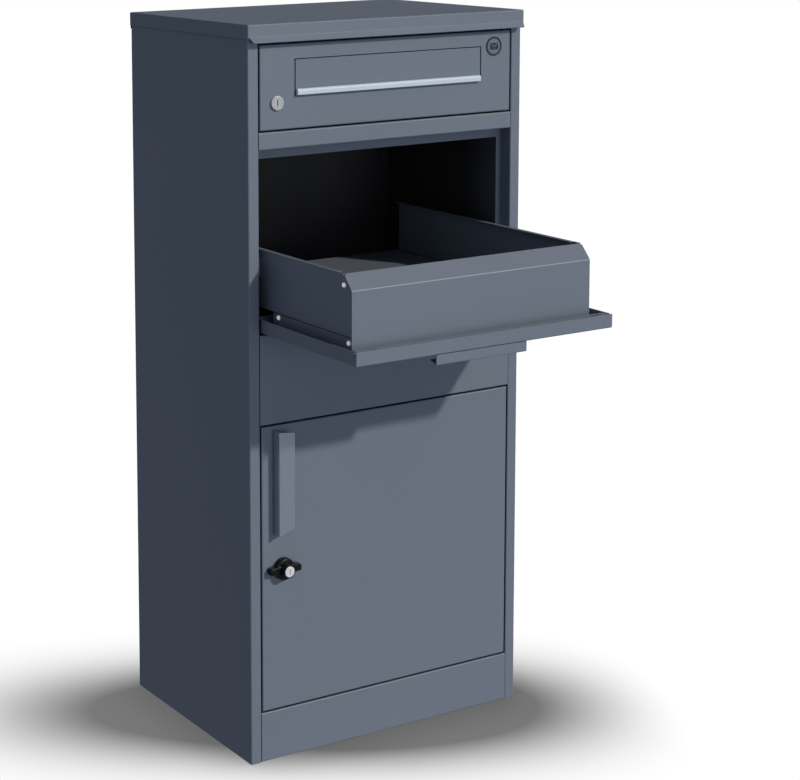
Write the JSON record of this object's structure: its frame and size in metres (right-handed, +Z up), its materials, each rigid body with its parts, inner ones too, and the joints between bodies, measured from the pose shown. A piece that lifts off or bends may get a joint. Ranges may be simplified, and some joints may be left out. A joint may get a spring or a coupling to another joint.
{
  "type": "parcel drop box",
  "caption": "Free-standing sheet-steel parcel drop box: letter flap in an upper mail door, fold-down loading flap with a swing-in tray, and a lockable retrieval door below.",
  "frame": {"origin": "centre of the cabinet footprint on the floor", "axes": "+Z up, the front with the doors and the open flap faces -Y, +X to the right seen from the front"},
  "size_m": [0.454, 0.5237, 1],
  "materials": {
    "powder_coat": "fine-textured satin anthracite powder coat",
    "satin_aluminium": "satin anodised",
    "zinc_steel": "bright zinc plated",
    "spring_steel": "oiled spring wire",
    "nickel": "nickel plated, lightly brushed",
    "nylon": "black nylon",
    "black_plastic": "satin black moulded plastic",
    "sign_dark": "dark moulded plaque"
  },
  "bodies": {
    "cabinet": {"side_panel_left": "powder_coat", "side_panel_right": "powder_coat", "back_panel": "powder_coat", "bottom_panel": "powder_coat", "top_cap": "powder_coat", "plinth": "powder_coat", "top_rail": "powder_coat", "crossbar": "powder_coat", "middle_panel": "powder_coat", "mail_compartment_floor": "powder_coat"},
    "mail_door_leaf": {"mail_door": "powder_coat", "mail_door_pivot_pins": "zinc_steel", "mail_door_washers": "nylon", "mail_flap_hinge_pin": "zinc_steel", "mail_flap_spring": "spring_steel", "mail_lock_housing": "nickel", "mail_lock_nut": "zinc_steel", "mail_sign_plaque": "sign_dark"},
    "mail_flap_leaf": {"mail_flap": "powder_coat", "mail_flap_lip": "satin_aluminium"},
    "mail_lock_turning": {"mail_lock_core": "nickel", "mail_lock_cam": "zinc_steel", "mail_lock_cam_screw": "zinc_steel"},
    "flap_and_tray": {"drop_flap": "powder_coat", "flap_pivot_pins": "zinc_steel", "flap_pivot_washers": "nylon", "flap_pull": "powder_coat", "tray_side_left": "powder_coat", "tray_side_right": "powder_coat", "tray_floor": "powder_coat", "tray_front": "powder_coat", "tray_bracket_left": "powder_coat", "tray_bracket_right": "powder_coat", "tray_screws": "zinc_steel"},
    "parcel_door_leaf": {"parcel_door": "powder_coat", "parcel_door_pivot_pins": "zinc_steel", "parcel_door_washers": "nylon", "parcel_door_stiffener": "powder_coat", "parcel_door_handle": "powder_coat", "knob_lock_housing": "zinc_steel", "knob_lock_nut": "zinc_steel"},
    "knob_turning": {"lock_knob": "black_plastic", "knob_lock_cam": "zinc_steel", "knob_cam_screw": "zinc_steel"},
    "key_core_turning": {"knob_key_core": "nickel"}
  },
  "joints": [
    {"name": "drop_flap_hinge", "type": "hinge", "parent": "cabinet", "child": "flap_and_tray", "pos_m": [0, -0.1413, 0.6054], "axis": [-1, 0, 0], "range_deg": [0, 90]},
    {"name": "mail_door_hinge", "type": "hinge", "parent": "cabinet", "child": "mail_door_leaf", "pos_m": [0.1985, -0.15, 0.9163], "axis": [0, 0, 1], "range_deg": [0, 110]},
    {"name": "mail_flap_hinge", "type": "hinge", "parent": "mail_door_leaf", "child": "mail_flap_leaf", "pos_m": [0, -0.1515, 0.9472], "axis": [-1, 0, 0], "range_deg": [0, 80], "stiffness_Nm_per_rad": 0.02},
    {"name": "mail_lock_turn", "type": "hinge", "parent": "mail_door_leaf", "child": "mail_lock_turning", "pos_m": [-0.1806, -0.15, 0.8957], "axis": [0, -1, 0], "range_deg": [0, 90], "stiffness_Nm_per_rad": 0.01},
    {"name": "parcel_door_hinge", "type": "hinge", "parent": "cabinet", "child": "parcel_door_leaf", "pos_m": [0.1985, -0.15, 0.2676], "axis": [0, 0, 1], "range_deg": [0, 110]},
    {"name": "lock_knob_turn", "type": "hinge", "parent": "parcel_door_leaf", "child": "knob_turning", "pos_m": [-0.1742, -0.16, 0.2664], "axis": [0, -1, 0], "range_deg": [0, 90], "stiffness_Nm_per_rad": 0.01},
    {"name": "key_core_turn", "type": "hinge", "parent": "knob_turning", "child": "key_core_turning", "pos_m": [-0.1742, -0.17, 0.2664], "axis": [0, -1, 0], "range_deg": [0, 90]}
  ]
}
